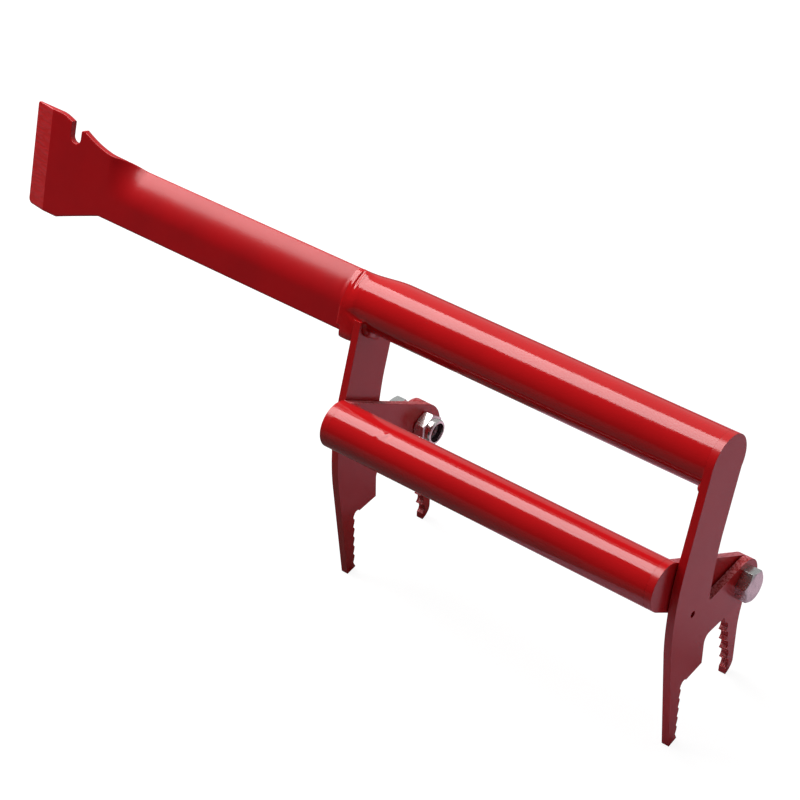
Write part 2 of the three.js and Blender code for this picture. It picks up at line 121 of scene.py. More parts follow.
def roundedCopy(node, name, width, segments=3, angle=34):
    # a copy of a node with its loose triangles joined, its flats made whole and its edges rounded
    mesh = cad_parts[node].data.copy()
    mesh.name = name
    work = bmesh.new()
    work.from_mesh(mesh)
    bmesh.ops.remove_doubles(work, verts=work.verts, dist=2e-6)
    bmesh.ops.dissolve_limit(work, angle_limit=math.radians(0.6), verts=work.verts, edges=work.edges)
    work.to_mesh(mesh)
    work.free()
    mesh.materials.clear()
    mesh.shade_smooth()
    mesh.set_sharp_from_angle(angle=math.radians(angle))
    piece = bpy.data.objects.new(name, mesh)
    bpy.context.scene.collection.objects.link(piece)
    bevel = piece.modifiers.new("roundedEdges", "BEVEL")
    bevel.width = width / 1000
    bevel.segments = segments
    bevel.limit_method = "ANGLE"
    bevel.angle_limit = math.radians(angle)
    bevel.harden_normals = True
    return piece


def settle(piece, body, material, slotName, *nodes):
    piece.data.materials.append(material)
    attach(piece, body)
    if nodes:
        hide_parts(*nodes)
    return piece


def faceFacts(piece):
    # the centre and the normal of every face
    centres = np.zeros(len(piece.data.polygons) * 3)
    normals = np.zeros_like(centres)
    piece.data.polygons.foreach_get("center", centres)
    piece.data.polygons.foreach_get("normal", normals)
    return centres.reshape(-1, 3), normals.reshape(-1, 3)


def newGroup(name, inputs, outputs):
    group = bpy.data.node_groups.new(name, "ShaderNodeTree")
    for label, kind, value in inputs:
        socket = group.interface.new_socket(name=label, in_out="INPUT", socket_type=kind)
        socket.default_value = value
    for label, kind in outputs:
        group.interface.new_socket(name=label, in_out="OUTPUT", socket_type=kind)
    return group, group.nodes.new("NodeGroupInput"), group.nodes.new("NodeGroupOutput")


def mathNode(tree, operation, a, b=None, c=None):
    node = tree.nodes.new("ShaderNodeMath")
    node.operation = operation
    for slot, value in enumerate((a, b, c)):
        if value is None:
            continue
        if isinstance(value, (int, float)):
            node.inputs[slot].default_value = value
        else:
            tree.links.new(value, node.inputs[slot])
    return node.outputs[0]


def noiseNode(tree, vector, scale, detail=3, roughness=0.5, stretch=None):
    if stretch:
        mapping = tree.nodes.new("ShaderNodeMapping")
        mapping.inputs["Scale"].default_value = stretch
        tree.links.new(vector, mapping.inputs["Vector"])
        vector = mapping.outputs[0]
    node = tree.nodes.new("ShaderNodeTexNoise")
    tree.links.new(vector, node.inputs["Vector"])
    node.inputs["Detail"].default_value = detail
    node.inputs["Roughness"].default_value = roughness
    if isinstance(scale, (int, float)):
        node.inputs["Scale"].default_value = scale
    else:
        tree.links.new(scale, node.inputs["Scale"])
    return node.outputs["Fac"]


def rampNode(tree, value, low, high, start=0.0, end=1.0):
    # value between low and high becomes start to end, held at both ends
    node = tree.nodes.new("ShaderNodeMapRange")
    node.interpolation_type = "SMOOTHSTEP"
    tree.links.new(value, node.inputs["Value"])
    for label, number in (("From Min", low), ("From Max", high), ("To Min", start), ("To Max", end)):
        node.inputs[label].default_value = number
    return node.outputs["Result"]


def mixColour(tree, factor, a, b):
    node = tree.nodes.new("ShaderNodeMix")
    node.data_type = "RGBA"
    for slot, value in ((0, factor), (6, a), (7, b)):
        if isinstance(value, (int, float, tuple)):
            node.inputs[slot].default_value = value
        else:
            tree.links.new(value, node.inputs[slot])
    return node.outputs[2]


def bumpNode(tree, height, strength, distance, normal=None):
    node = tree.nodes.new("ShaderNodeBump")
    tree.links.new(height, node.inputs["Height"])
    if isinstance(strength, (int, float)):
        node.inputs["Strength"].default_value = strength
    else:
        tree.links.new(strength, node.inputs["Strength"])
    node.inputs["Distance"].default_value = distance
    if normal:
        tree.links.new(normal, node.inputs["Normal"])
    return node.outputs[0]


def makePaintSkin():
    # brushed-out enamel: faint mottling, an uneven gloss, orange peel and a few dust nibs
    group, given, made = newGroup("paintSkin", [
        ("Vector", "NodeSocketVector", (0, 0, 0)),
        ("Colour", "NodeSocketColor", (0.4, 0.006, 0.01, 1)),
        ("Thin Colour", "NodeSocketColor", (0.3, 0.004, 0.008, 1)),
        ("Mottle", "NodeSocketFloat", 0.35),
        ("Gloss", "NodeSocketFloat", 0.2),
        ("Peel", "NodeSocketFloat", 0.3),
        ("Nibs", "NodeSocketFloat", 0.5),
    ], [("Colour", "NodeSocketColor"), ("Roughness", "NodeSocketFloat"), ("Normal", "NodeSocketVector")])
    vector = given.outputs["Vector"]
    cloud = noiseNode(group, vector, 38, 3, 0.55)
    fine = noiseNode(group, vector, 260, 2, 0.5)
    mottle = mathNode(group, "MULTIPLY", rampNode(group, cloud, 0.38, 0.68), given.outputs["Mottle"])
    colour = mixColour(group, mottle, given.outputs["Colour"], given.outputs["Thin Colour"])
    dots = group.nodes.new("ShaderNodeTexVoronoi")
    dots.inputs["Scale"].default_value = 95
    dots.inputs["Randomness"].default_value = 1
    group.links.new(vector, dots.inputs["Vector"])
    few = rampNode(group, noiseNode(group, vector, 60, 1), 0.5, 0.6)
    nib = mathNode(group, "MULTIPLY", rampNode(group, dots.outputs["Distance"], 0.03, 0.055, 1, 0), few)
    nib = mathNode(group, "MULTIPLY", nib, given.outputs["Nibs"])
    colour = mixColour(group, mathNode(group, "MULTIPLY", nib, 0.55), colour, (0.12, 0.004, 0.006, 1))
    rough = mathNode(group, "ADD", given.outputs["Gloss"],
                     mathNode(group, "MULTIPLY", mathNode(group, "SUBTRACT", cloud, 0.5), 0.12))
    slow = bumpNode(group, noiseNode(group, vector, 55, 2), 0.22, 0.0006)
    peel = bumpNode(group, fine, given.outputs["Peel"], 0.00006, slow)
    normal = bumpNode(group, nib, 0.6, 0.00015, peel)
    group.links.new(colour, made.inputs["Colour"])
    group.links.new(rough, made.inputs["Roughness"])
    group.links.new(normal, made.inputs["Normal"])
    return group


def makeGrindLines():
    # fine parallel scratches: noise stretched along one direction, as a mask and a height
    group, given, made = newGroup("grindLines", [
        ("Vector", "NodeSocketVector", (0, 0, 0)),
        ("Scale", "NodeSocketFloat", 1.0),
        ("Depth", "NodeSocketFloat", 1.0),
    ], [("Mask", "NodeSocketFloat"), ("Height", "NodeSocketFloat")])
    mapping = group.nodes.new("ShaderNodeMapping")
    mapping.inputs["Scale"].default_value = (60, 900, 900)
    group.links.new(given.outputs["Vector"], mapping.inputs["Vector"])
    lines = noiseNode(group, mapping.outputs[0], given.outputs["Scale"], 2, 0.4)
    mask = rampNode(group, lines, 0.4, 0.62)
    group.links.new(mask, made.inputs["Mask"])
    group.links.new(mathNode(group, "MULTIPLY", mask, given.outputs["Depth"]), made.inputs["Height"])
    return group


def makeZincSkin():
    # bright zinc: cloudy passivation, small handling marks and a slightly uneven shine
    group, given, made = newGroup("zincSkin", [
        ("Vector", "NodeSocketVector", (0, 0, 0)),
        ("Colour", "NodeSocketColor", (0.68, 0.65, 0.63, 1)),
        ("Dull Colour", "NodeSocketColor", (0.42, 0.39, 0.38, 1)),
        ("Shine", "NodeSocketFloat", 0.24),
        ("Marks", "NodeSocketFloat", 0.5),
    ], [("Colour", "NodeSocketColor"), ("Roughness", "NodeSocketFloat"), ("Normal", "NodeSocketVector")])
    vector = given.outputs["Vector"]
    cloud = noiseNode(group, vector, 240, 4, 0.6)
    scratch = noiseNode(group, vector, 1, 2, 0.5, stretch=(300, 1500, 500))
    marks = mathNode(group, "MULTIPLY", rampNode(group, scratch, 0.52, 0.7), given.outputs["Marks"])
    colour = mixColour(group, rampNode(group, cloud, 0.42, 0.72), given.outputs["Colour"],
                       given.outputs["Dull Colour"])
    rough = mathNode(group, "ADD", given.outputs["Shine"],
                     mathNode(group, "MULTIPLY", mathNode(group, "ADD", cloud, marks), 0.14))
    group.links.new(colour, made.inputs["Colour"])
    group.links.new(rough, made.inputs["Roughness"])
    group.links.new(bumpNode(group, mathNode(group, "ADD", cloud, marks), 0.35, 0.00005),
                    made.inputs["Normal"])
    return group


paintSkin, grindLines, zincSkin = makePaintSkin(), makeGrindLines(), makeZincSkin()
print("made the shared surface effects")

enamel = {
    "colour": (0.47, 0.0065, 0.0085, 1),
    "thinColour": (0.40, 0.005, 0.0075, 1),
    "mottle": 0.35,
    "gloss": 0.17,
    "peel": 0.22,
    "nibs": 0.45,
    "shine": 0.5,
}


def newMaterial(name):
    material = bpy.data.materials.new(name)
    material.use_nodes = True
    tree = material.node_tree
    shader = tree.nodes["Principled BSDF"]
    coordinates = tree.nodes.new("ShaderNodeTexCoord").outputs["Object"]
    return material, tree, shader, coordinates


def enamelMaterial(name, addRelief=None, **changes):
    # red gloss enamel; addRelief puts a further height or colour on top for one kind of piece
    facts = {**enamel, **changes}
    material, tree, shader, coordinates = newMaterial(name)
    skin = tree.nodes.new("ShaderNodeGroup")
    skin.node_tree = paintSkin
    tree.links.new(coordinates, skin.inputs["Vector"])
    for label, key in (("Colour", "colour"), ("Thin Colour", "thinColour"), ("Mottle", "mottle"),
                       ("Gloss", "gloss"), ("Peel", "peel"), ("Nibs", "nibs")):
        skin.inputs[label].default_value = facts[key]
    colour, rough, normal = (skin.outputs[k] for k in ("Colour", "Roughness", "Normal"))
    if addRelief:
        colour, rough, normal = addRelief(tree, coordinates, colour, rough, normal)
    tree.links.new(colour, shader.inputs["Base Color"])
    tree.links.new(rough, shader.inputs["Roughness"])
    tree.links.new(normal, shader.inputs["Normal"])
    shader.inputs["IOR"].default_value = 1.5
    shader.inputs["Specular IOR Level"].default_value = facts["shine"]
    return material


def grounded(tree, coordinates, colour, rough, normal):
    # grinding lines that show through the paint
    lines = tree.nodes.new("ShaderNodeGroup")
    lines.node_tree = grindLines
    tree.links.new(coordinates, lines.inputs["Vector"])
    lines.inputs["Scale"].default_value = 1.0
    lines.inputs["Depth"].default_value = 1.0
    colour = mixColour(tree, mathNode(tree, "MULTIPLY", lines.outputs["Mask"], 0.35), colour,
                       (0.52, 0.03, 0.04, 1))
    return colour, rough, bumpNode(tree, lines.outputs["Height"], 0.5, 0.00012, normal)


def cutRoughWithPaintedHighlight(tree, coordinates, colour, rough, normal):
    # the ragged edge left by the cutting torch as a bump, with a painted highlight: pale pink flecks on the
    # grain's crests stand in for light caught there
    grainAndPaintedGlints = noiseNode(tree, coordinates, 900, 4, 0.65)
    # the pale colour on the crests is painted highlight, not a property of the paint
    colour = mixColour(tree, rampNode(tree, grainAndPaintedGlints, 0.44, 0.58, 0, 0.75), colour, (0.8, 0.2, 0.22, 1))
    return colour, rough, bumpNode(tree, grainAndPaintedGlints, 1.0, 0.0018, normal)


def welded(tree, coordinates, colour, rough, normal):
    # lumpy bead under the paint
    return colour, rough, bumpNode(tree, noiseNode(tree, coordinates, 320, 3, 0.55), 0.8, 0.0004, normal)


tubePaint = enamelMaterial("tubeEnamel", gloss=0.12)
shankPaint = enamelMaterial("scraperEnamel", gloss=0.3, nibs=0.9, mottle=0.5, peel=0.35,
                            shine=0.33,
                            colour=(0.41, 0.0055, 0.0085, 1), thinColour=(0.33, 0.0045, 0.0075, 1))
bladePaint = enamelMaterial("bladeBevelEnamel", grounded, gloss=0.3)
jawPaint = enamelMaterial("jawEnamel", gloss=0.22, peel=0.3)
# cut edges: a rough bump plus painted highlight on their crests
cutEdgePaintWithHighlight = enamelMaterial("cutEdgeEnamelPaintedHighlight", cutRoughWithPaintedHighlight, gloss=0.3)
weldPaint = enamelMaterial("weldEnamel", welded, gloss=0.2)

zinc = {
    "colour": (0.82, 0.78, 0.77, 1),
    "dullColour": (0.58, 0.54, 0.53, 1),
    "shine": 0.2,
    "marks": 0.5,
}


def zincMaterial(name, **changes):
    facts = {**zinc, **changes}
    material, tree, shader, coordinates = newMaterial(name)
    skin = tree.nodes.new("ShaderNodeGroup")
    skin.node_tree = zincSkin
    tree.links.new(coordinates, skin.inputs["Vector"])
    for label, key in (("Colour", "colour"), ("Dull Colour", "dullColour"), ("Shine", "shine"),
                       ("Marks", "marks")):
        skin.inputs[label].default_value = facts[key]
    tree.links.new(skin.outputs["Colour"], shader.inputs["Base Color"])
    tree.links.new(skin.outputs["Roughness"], shader.inputs["Roughness"])
    tree.links.new(skin.outputs["Normal"], shader.inputs["Normal"])
    shader.inputs["Metallic"].default_value = 1.0
    return material


boltZinc = zincMaterial("boltZinc", colour=(0.68, 0.70, 0.69, 1), dullColour=(0.46, 0.48, 0.48, 1))
nutZinc = zincMaterial("nutZinc", shine=0.16, colour=(0.84, 0.81, 0.8, 1))
washerZinc = zincMaterial("washerZinc", shine=0.26)


def nylonMaterial():
    # smoked nylon of the locking ring, faintly mottled
    material, tree, shader, coordinates = newMaterial("lockRingNylon")
    cloud = noiseNode(tree, coordinates, 400, 3)
    tree.links.new(mixColour(tree, cloud, (0.05, 0.032, 0.038, 1), (0.09, 0.06, 0.07, 1)),
                   shader.inputs["Base Color"])
    tree.links.new(rampNode(tree, cloud, 0.3, 0.7, 0.4, 0.6), shader.inputs["Roughness"])
    return material


nylon = nylonMaterial()
print("made the finishes")


shank = {
    "bottom": -13.0,
    "flatTop": -3.0,
    "bendRadius": 19.0,
    "bendAngle": 58.0,  # degrees
    "pressStart": 47.3,
    "pressEnd": 63.8,
}
upperHandle = {
    "radius": 12.5,
    "wall": 2.2,
    "from": seam,
    "to": -3.5,
    "squash": 2.0,  # how far the top and back are dressed in to meet the scraper
    "squashRun": 20,
}
arch = {
    # the shank's section as seen from the tube: centre, radius, and degrees round the tube
    "y": shank["bendRadius"] - upperHandle["radius"],
    "z": shank["flatTop"],
    "radius": shank["bendRadius"],
    "first": 107,
    "flatFrom": 193.5,
    "corner": 224,
    "cornerEnd": 264,
    "run": 7.0,  # length over which the tube leaves the shank's section
}
lowerHandle = {"radius": 10.5, "wall": 2.0, "from": -166.0, "to": -7.5, "y": -16.6, "z": -50.7}


def tubePiece(name, facts, shape, stations, around=128):
    # radius as a function of angle and place along the tube, outside and inside, swept as one closed
    # sleeve: out along the outer wall and back along the inner one
    angle = np.linspace(0, 2 * math.pi, around, endpoint=False)[:, None]
    x = np.concatenate([stations, stations[::-1]])[None, :]
    wall = np.concatenate([np.zeros(len(stations)), np.full(len(stations), facts["wall"])])[None, :]
    radius = facts["radius"] + shape(angle, x) - wall
    y = facts.get("y", 0) + radius * np.cos(angle)
    z = facts.get("z", 0) + radius * np.sin(angle)
    return meshFromGrid(name, toRow(x, y, z), loopRows=True, loopColumns=True)


def shankRadius(angle):
    # distance from the tube's axis out to the arched shank: a circle over the top and front, a flat
    # below it, and a corner that dies away underneath
    u, v = np.cos(angle), np.sin(angle)
    along = arch["y"] * u + arch["z"] * v
    circle = along + np.sqrt(along ** 2 - arch["y"] ** 2 - arch["z"] ** 2 + arch["radius"] ** 2)
    flat = upperHandle["radius"] / np.clip(-u, 0.6, None)
    turned = np.degrees(angle)
    corner = smoothRamp(turned, arch["corner"], arch["cornerEnd"])
    reach = np.where(turned < arch["flatFrom"], circle, flat) * (1 - corner) + upperHandle["radius"] * corner
    share = smoothRamp(turned, arch["first"] - 12, arch["first"]) * (turned < 300)
    return upperHandle["radius"] * (1 - share) + reach * share


def meetShank(angle, x):
    # how far the tube is drawn out to the shank's arch: over the front it settles within a short run,
    # and underneath it carries on as far as the left jaw
    low = smoothRamp(np.degrees(angle), 195, 215)
    away = smoothRamp(x - 6 * low, seam, seam + arch["run"])
    return (shankRadius(angle) - upperHandle["radius"]) * (1 - away)


def upperShape(angle, x):
    # dressed in at the seam over the back, drawn out to the shank over the front, slight dents
    facts = upperHandle
    near = 1 - smoothRamp(x, facts["from"], facts["from"] + facts["squashRun"])
    topBack = smoothRamp(np.cos(angle - math.radians(35)), 0.2, 0.9)
    dents = 0.03 * ripple(angle * 3, x / 14, 4)
    return meetShank(angle, x) - facts["squash"] * near * topBack + dents


def lowerShape(angle, x):
    # almost true; two paint chips stand up near the left end
    chips = 0.18 * bump(angle, math.radians(128), 0.1) * (bump(x, -140.5, 0.9) - bump(x, -138.6, 0.7))
    chips = chips + 0.15 * bump(angle, math.radians(138), 0.08) * bump(x, -143.5, 0.9)
    return 0.025 * ripple(angle * 3, x / 14, 9) + chips


upperStations = np.concatenate([
    np.linspace(seam, seam + 8, 24, endpoint=False),
    np.linspace(seam + 8, seam + 26, 16, endpoint=False),
    np.linspace(seam + 26, upperHandle["to"], 60),
])
settle(tubePiece("upperTube", upperHandle, upperShape, upperStations),
       "frame", tubePaint, "red_enamel", "upper_handle_tube")
lowerStations = np.concatenate([
    np.linspace(lowerHandle["from"], -146, 12, endpoint=False),
    np.linspace(-146, -136, 30, endpoint=False),
    np.linspace(-136, lowerHandle["to"], 60),
])
settle(tubePiece("lowerTube", lowerHandle, lowerShape, lowerStations),
       "swing_grip", tubePaint, "red_enamel", "lower_handle_tube")
print("made the handles")


blade = {
    "length": 186.5,
    "sheet": 3.0,
    "top": 25.7,
    "bottom": -22.2,
    "shoulder": 16.0,
    "lip": 23.0,
    "lipDrop": 1.9,
    "notchWidth": 6.2,
    "notchBottom": 14.7,
    "notchCentre": 26.1,
    "notchLip": 21.4,
    "hookPeak": 30.8,
    "hookHeight": 22.0,
    "hookEnd": 52.8,
    "bellyEnd": 19.8,
    "neckStart": 45.7,
    "bevelWidth": 11.2,
    "bevelDepth": 2.2,
    "skew": 0.054,
    "topCorner": 1.2,
    "bottomCorner": 2.2,
    "edgeRound": 0.5,  # paint softens every sheet edge
}


def upperEdge(d):
    # height of the sheet's top edge at a distance d from the blade's edge
    b, s = blade, shank
    flatTop = s["flatTop"] + s["bendRadius"] * math.radians(s["bendAngle"])
    lipTop = b["top"] - b["lipDrop"]
    edge = np.full_like(d, flatTop)
    edge = np.where(d < b["hookEnd"], flatTop + (b["hookHeight"] - flatTop)
                    * (np.clip(b["hookEnd"] - d, 0, None) / (b["hookEnd"] - b["hookPeak"])) ** 2, edge)
    notchEnd = b["notchCentre"] + b["notchWidth"] / 2
    hook = np.interp(d, [b["lip"], notchEnd, b["hookPeak"]], [lipTop, b["notchLip"], b["hookHeight"]])
    edge = np.where(d < b["hookPeak"], hook, edge)
    sweep = np.clip((d - b["shoulder"]) / (b["lip"] - b["shoulder"]), 0, 1)
    edge = np.where(d < b["lip"], b["top"] - b["lipDrop"] * sweep ** 1.6, edge)
    corner = b["topCorner"]
    rounding = np.sqrt(np.clip(corner ** 2 - np.clip(corner - d, 0, None) ** 2, 0, None))
    edge = np.where(d < corner, b["top"] - corner + rounding, edge)
    # the nail notch: straight walls and a half-round bottom
    half = b["notchWidth"] / 2
    aside = np.clip(np.abs(d - b["notchCentre"]) / half, 0, 1)
    floor = b["notchBottom"] + half * (1 - np.sqrt(1 - aside ** 2))
    return np.where(np.abs(d - b["notchCentre"]) <= half, floor, edge)


def lowerEdge(d):
    b, s = blade, shank
    slope = (s["bottom"] - b["bottom"]) / (b["neckStart"] - b["bellyEnd"])
    edge = b["bottom"] + slope * np.clip(d - b["bellyEnd"], 0, b["neckStart"] - b["bellyEnd"])
    corner = b["bottomCorner"]
    rounding = np.sqrt(np.clip(corner ** 2 - np.clip(corner - d, 0, None) ** 2, 0, None))
    return np.where(d < corner, b["bottom"] + corner - rounding, edge)


def pressed(d, height, depth):
    # height along the sheet and depth into it become a place: flat at the blade, and past the press
    # line curled round an arc that grows to the shank's full bend
    b, s = blade, shank
    curl = smoothRamp(d, s["pressStart"], s["pressEnd"])
    rise = np.clip(height - s["flatTop"], 0, None)
    angle = rise * curl / s["bendRadius"]
    radius = s["bendRadius"] / np.maximum(curl, 1e-6)
    y = -upperHandle["radius"] + np.where(curl > 0, radius * (1 - np.cos(angle)), 0)
    z = np.where((curl > 0) & (rise > 0), s["flatTop"] + radius * np.sin(angle), height)
    lean = b["skew"] * height * (1 - smoothRamp(d, 0, b["neckStart"]))
    x = seam - b["length"] + d - lean
    return x, y + depth * np.cos(angle), z - depth * np.sin(angle)


def scraperPiece():
    b = blade
    half = b["notchWidth"] / 2
    notchLow, notchHigh = b["notchCentre"] - half, b["notchCentre"] + half
    inNotch = b["notchCentre"] - half * np.cos(np.linspace(0, math.pi, 25))
    d = np.concatenate([
        [0, 0.06, 0.2, 0.45, 0.8, 1.2, 1.6, 2.2, 2.8], np.linspace(3.6, 10.8, 10), [11.1, 11.3],
        np.linspace(11.8, b["shoulder"], 6), np.linspace(16.8, notchLow - 0.001, 9), inNotch,
        np.linspace(notchHigh + 0.001, b["hookPeak"], 5), np.linspace(31.3, b["hookEnd"], 32),
        np.linspace(53.4, 68, 26), np.linspace(70, b["length"] - 8, 40),
        np.linspace(b["length"] - 7, b["length"], 12),
    ])[:, None]
    low, high = lowerEdge(d), upperEdge(d)
    bevel = b["bevelDepth"] * np.clip(1 - d / b["bevelWidth"], 0, None)
    thick = b["sheet"] - bevel
    r = np.minimum(b["edgeRound"], thick * 0.35)
    up = np.linspace(0, 1, 40)[None, :]
    turn = np.linspace(0, math.pi / 2, 5)[None, 1:-1]
    lowIn, highIn = low + r, high - r
    frontH = lowIn + (highIn - lowIn) * up
    backH = frontH[:, ::-1]
    ones = np.ones_like(frontH)
    height = np.concatenate([
        frontH, highIn + r * np.sin(turn), high + 0 * d, highIn + r * np.cos(turn), backH,
        lowIn - r * np.sin(turn), low + 0 * d, lowIn - r * np.cos(turn)], axis=1)
    near, far = bevel, b["sheet"] + 0 * d
    depth = np.concatenate([
        near * ones, near + r * (1 - np.cos(turn)), (near + far) / 2, far - r * (1 - np.sin(turn)),
        far * ones, far - r * (1 - np.cos(turn)), (near + far) / 2, near + r * (1 - np.sin(turn))], axis=1)
    x, y, z = pressed(d + 0 * height, height, depth)
    fromSeam = d - b["length"]
    # the weld's heat leaves two faint creases over the bend just before the seam
    swell = 0.22 * bump(height, 6, 5) * (bump(fromSeam, -1.5, 0.7) - 0.7 * bump(fromSeam, -3.2, 0.8))
    y = y - np.where(depth < b["sheet"] / 2, swell, 0)
    return meshFromGrid("scraperBlade", toRow(x, y, z), loopColumns=True, capRows=True, crease=42)


scraperBlade = scraperPiece()
scraperBlade.data.materials.append(shankPaint)
scraperBlade.data.materials.append(bladePaint)
# faces on the ground bevel take the lined finish: near the blade's edge, and turned to it and to the front
centres, normals = faceFacts(scraperBlade)
bevelReach = (seam - blade["length"] + stance["rightFace"]) / 1000 + (blade["bevelWidth"] + 1.2) / 1000
onBevel = (centres[:, 0] < bevelReach) & (normals[:, 0] < -0.1) & (normals[:, 1] < 0)
scraperBlade.data.polygons.foreach_set("material_index", onBevel.astype(np.int32))
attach(scraperBlade, "frame")
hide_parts("scraper")
print("made the scraper")


jawEdges = {
    "fixed": 0.55,  # how far the paint rounds a cut edge
    "swing": 0.5,
    "acrossPlate": 0.3,  # a cut face is turned less than this along X
    "upward": 0.35,  # and more than this upwards, where it takes the painted highlight
    "earTop": 0.1,  # metres above the floor, below which the cut faces are rough and carry the painted highlight
}
for node, name, body, width in (
    ("left_fixed_jaw", "leftJaw", "frame", jawEdges["fixed"]),
    ("right_fixed_jaw", "rightJaw", "frame", jawEdges["fixed"]),
    ("left_swing_jaw", "leftSwingJaw", "swing_grip", jawEdges["swing"]),
    ("right_swing_jaw", "rightSwingJaw", "swing_grip", jawEdges["swing"]),
):
    jaw = settle(roundedCopy(node, name, width), body, jawPaint, "red_enamel", node)
    jaw.data.materials.append(cutEdgePaintWithHighlight)
    centres, normals = faceFacts(jaw)
    # upward-turned cut faces low on the jaws take the rough bump and the painted highlight
    highlightedCutFaces = (np.abs(normals[:, 0]) < jawEdges["acrossPlate"]) & (normals[:, 2] > jawEdges["upward"])
    highlightedCutFaces = highlightedCutFaces & (centres[:, 1] > 0) & (centres[:, 2] < jawEdges["earTop"])
    jaw.data.polygons.foreach_set("material_index", highlightedCutFaces.astype(np.int32))
    jaw.data.update()
print("made the jaws")


def weldFacts(tube, face, side, size, first, last, seed):
    # the tube it runs round, the flat face it sits on and which way it stands off that face, its size,
    # the degrees it starts and ends at, and the seed of its lumps
    return {"tube": tube, "face": face, "side": side, "size": size, "first": first, "last": last,
            "seed": seed}


weldBeads = {
    "left_jaw_outer_weld": weldFacts(upperHandle, -173.5, -1, 2.4, 208, 332, 2),
    "left_jaw_inner_weld": weldFacts(upperHandle, -170.0, 1, 2.3, 208, 332, 3),
    "right_jaw_weld": weldFacts(upperHandle, -3.5, -1, 2.4, 204, 330, 4),
    "left_swing_weld": weldFacts(lowerHandle, -166.0, 1, 1.7, -50, 60, 5),
    "right_swing_weld": weldFacts(lowerHandle, -7.5, -1, 1.7, -50, 60, 6),
}
skirt = {
    "from": 108,  # degrees round the tube
    "to": 268,
    "before": 2.4,  # how far it laps onto the shank
    "after": 7.5,  # and onto the tube
    "lift": 0.22,
    "sink": 0.08,
    "creaseHeight": 0.32,  # two creases across the upper front
    "creaseAt": 124,
    "tuck": 5,  # how far it draws in under the shank's lower edge
    "thick": 1.4,
}


def weldPiece(name, facts):
    # a quarter-round bead run round a tube beside a flat face; its size swells with each weld pool
    # and dies away at both ends
    tube = facts["tube"]
    angle = np.radians(np.linspace(facts["first"], facts["last"], 90))[:, None]
    t = np.linspace(0, 1, 90)[:, None]
    ends = smoothRamp(t, 0, 0.22) * (1 - smoothRamp(t, 0.78, 1))
    pools = 1 + 0.05 * np.sin(angle * tube["radius"] / 1.3) + 0.1 * ripple(angle * 7, 0, facts["seed"])
    bead = (0.25 + facts["size"] * ends) * pools
    turn = np.linspace(0, math.pi / 2, 9)[None, :]
    out = np.concatenate([bead * np.cos(turn) ** 0.8, -0.4 + 0 * bead, -0.4 + 0 * bead], axis=1)
    along = np.concatenate([bead * np.sin(turn) ** 0.8, bead, -0.3 + 0 * bead], axis=1)
    x = facts["face"] + facts["side"] * along
    radius = tube["radius"] + out
    y = tube.get("y", 0) + radius * np.cos(angle)
    z = tube.get("z", 0) + radius * np.sin(angle)
    return meshFromGrid(name, toRow(x, y, z), loopColumns=True, capRows=True, crease=60)


def seamSkirt():
    # the dressed weld where the shank meets the tube: a thin smooth band that follows the shank on one
    # side and the tube on the other, with two creases across its upper front
    f = skirt
    start, end = seam - f["before"], seam + f["after"]
    turned = np.linspace(f["from"], f["to"], 120)[:, None]
    angle = np.radians(turned)
    x = np.linspace(start, end, 48)[None, :]
    under = smoothRamp(turned, 221, 231) * (1 - smoothRamp(x, seam - 0.6, seam + 0.8))
    lift = f["lift"] * smoothRamp(x, start, start + 1.2) * (1 - smoothRamp(x, seam + 4, end)) - f["sink"]
    creases = bump(x, seam + 0.6, 0.5) - 0.8 * bump(x, seam + 1.8, 0.5) + 0.8 * bump(x, seam + 3.0, 0.6)
    lift = lift + f["creaseHeight"] * bump(angle, math.radians(f["creaseAt"]), 0.36) * creases
    lift = lift * smoothRamp(turned, f["from"], f["from"] + 6) + 0.04 * ripple(angle * 8, x / 3, 12)
    outside = upperHandle["radius"] + meetShank(angle, x) - f["tuck"] * under + lift
    radius = np.concatenate([outside, outside[:, ::-1] - f["thick"]], axis=1)
    x = np.concatenate([x, x[:, ::-1]], axis=1)
    points = toRow(x + 0 * radius, radius * np.cos(angle), radius * np.sin(angle))
    return meshFromGrid("scraperWeldSkirt", points, loopColumns=True, capRows=True, crease=60)


settle(seamSkirt(), "frame", tubePaint, "red_enamel", "scraper_weld")
for node, facts in weldBeads.items():
    words = node.split("_")
    name = words[0] + "".join(word.capitalize() for word in words[1:]) + "Bead"
    body = "swing_grip" if "swing" in node else "frame"
    settle(weldPiece(name, facts), body, weldPaint, "red_enamel", node)
print("made the welds")


for node, name, material in (
    ("left_pivot_bolt", "leftBolt", boltZinc),
    ("right_pivot_bolt", "rightBolt", boltZinc),
    ("left_lock_nut", "leftNut", nutZinc),
    ("right_lock_nut", "rightNut", nutZinc),
):
    settle(roundedCopy(node, name, 0.22, 2, 24), "frame", material, "zinc_plate", node)
for node, name in (("left_spring_washer", "leftSpringWasher"), ("left_spacer", "leftSpacer")):
    settle(roundedCopy(node, name, 0.3, 2, 24), "frame", washerZinc, "zinc_plate", node)
for node in ("left_nylon_insert", "right_nylon_insert"):
    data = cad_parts[node].data
    data.materials.clear()
    data.materials.append(nylon)
print("made the fasteners")


stageFacts = {
    "floorSize": 2.6,
    "floorDepth": -0.0004,
    "floorColour": (0.13, 0.12, 0.12, 1),
    "seenColour": (0.8, 0.8, 0.8, 1),  # what the camera sees of the floor
    "seenGlow": 1.12,
    "seenShare": 0.82,
    "cardDepth": -0.0002,
    "cardCorners": ((0.03, 0.02), (0.2, -0.3), (1.2, -0.3), (1.2, 1.0), (0.03, 1.0)),
    "cardColour": (0.50, 0.34, 0.41, 1),
    "softboxDirection": (-0.505, 0.03, 0.863),
    "softboxDistance": 1.25,
    "softboxSize": (1.9, 0.86),
    "softboxPower": 34,
    "softboxAim": (0, 0, 0.08),
    "roomFrom": -0.15,  # the room brightens from front to back, by the share of Y in a direction
    "roomTo": 0.55,
    "roomDark": 0.03,
    "roomBright": 0.6,
}


